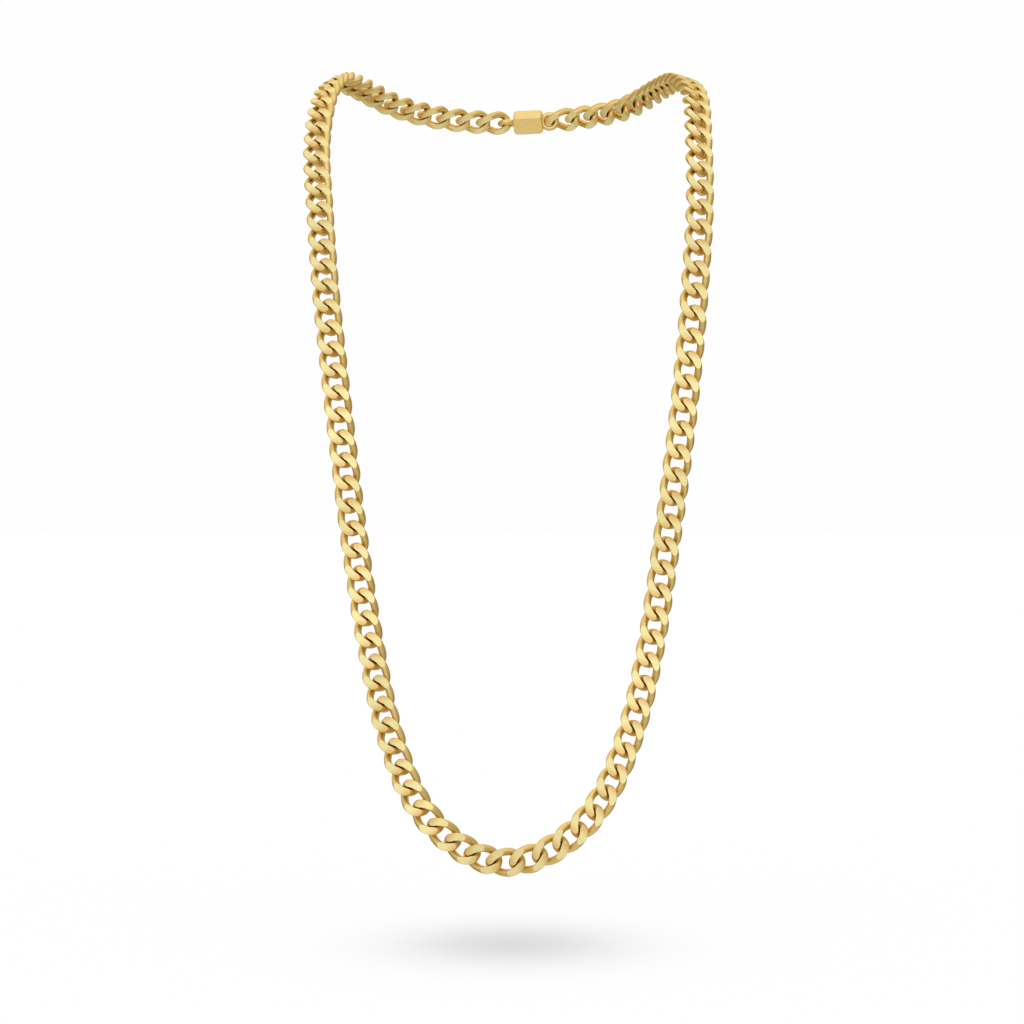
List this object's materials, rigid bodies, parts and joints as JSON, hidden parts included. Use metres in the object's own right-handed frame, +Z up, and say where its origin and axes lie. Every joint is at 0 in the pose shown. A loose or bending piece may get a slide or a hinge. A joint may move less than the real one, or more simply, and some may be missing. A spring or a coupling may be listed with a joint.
{
  "type": "curb chain necklace",
  "caption": "Curb chain necklace of twisted, flat-cut interlocking links in a satin finish, hung as worn over the shoulders and closed at the nape by a plain box clasp.",
  "frame": {"origin": "midway between the two strands where they pass beside the neck, on top of the shoulders", "axes": "+Z up, -Y to the wearer's front, +X to the right as the necklace is seen from the front"},
  "size_m": [0.1167, 0.1441, 0.2311],
  "materials": {
    "satin_gold": "satin",
    "clasp_gold": "satin"
  },
  "bodies": {
    "root": {"chain_left": "satin_gold", "chain_right": "satin_gold", "clasp": "clasp_gold"}
  },
  "joints": []
}
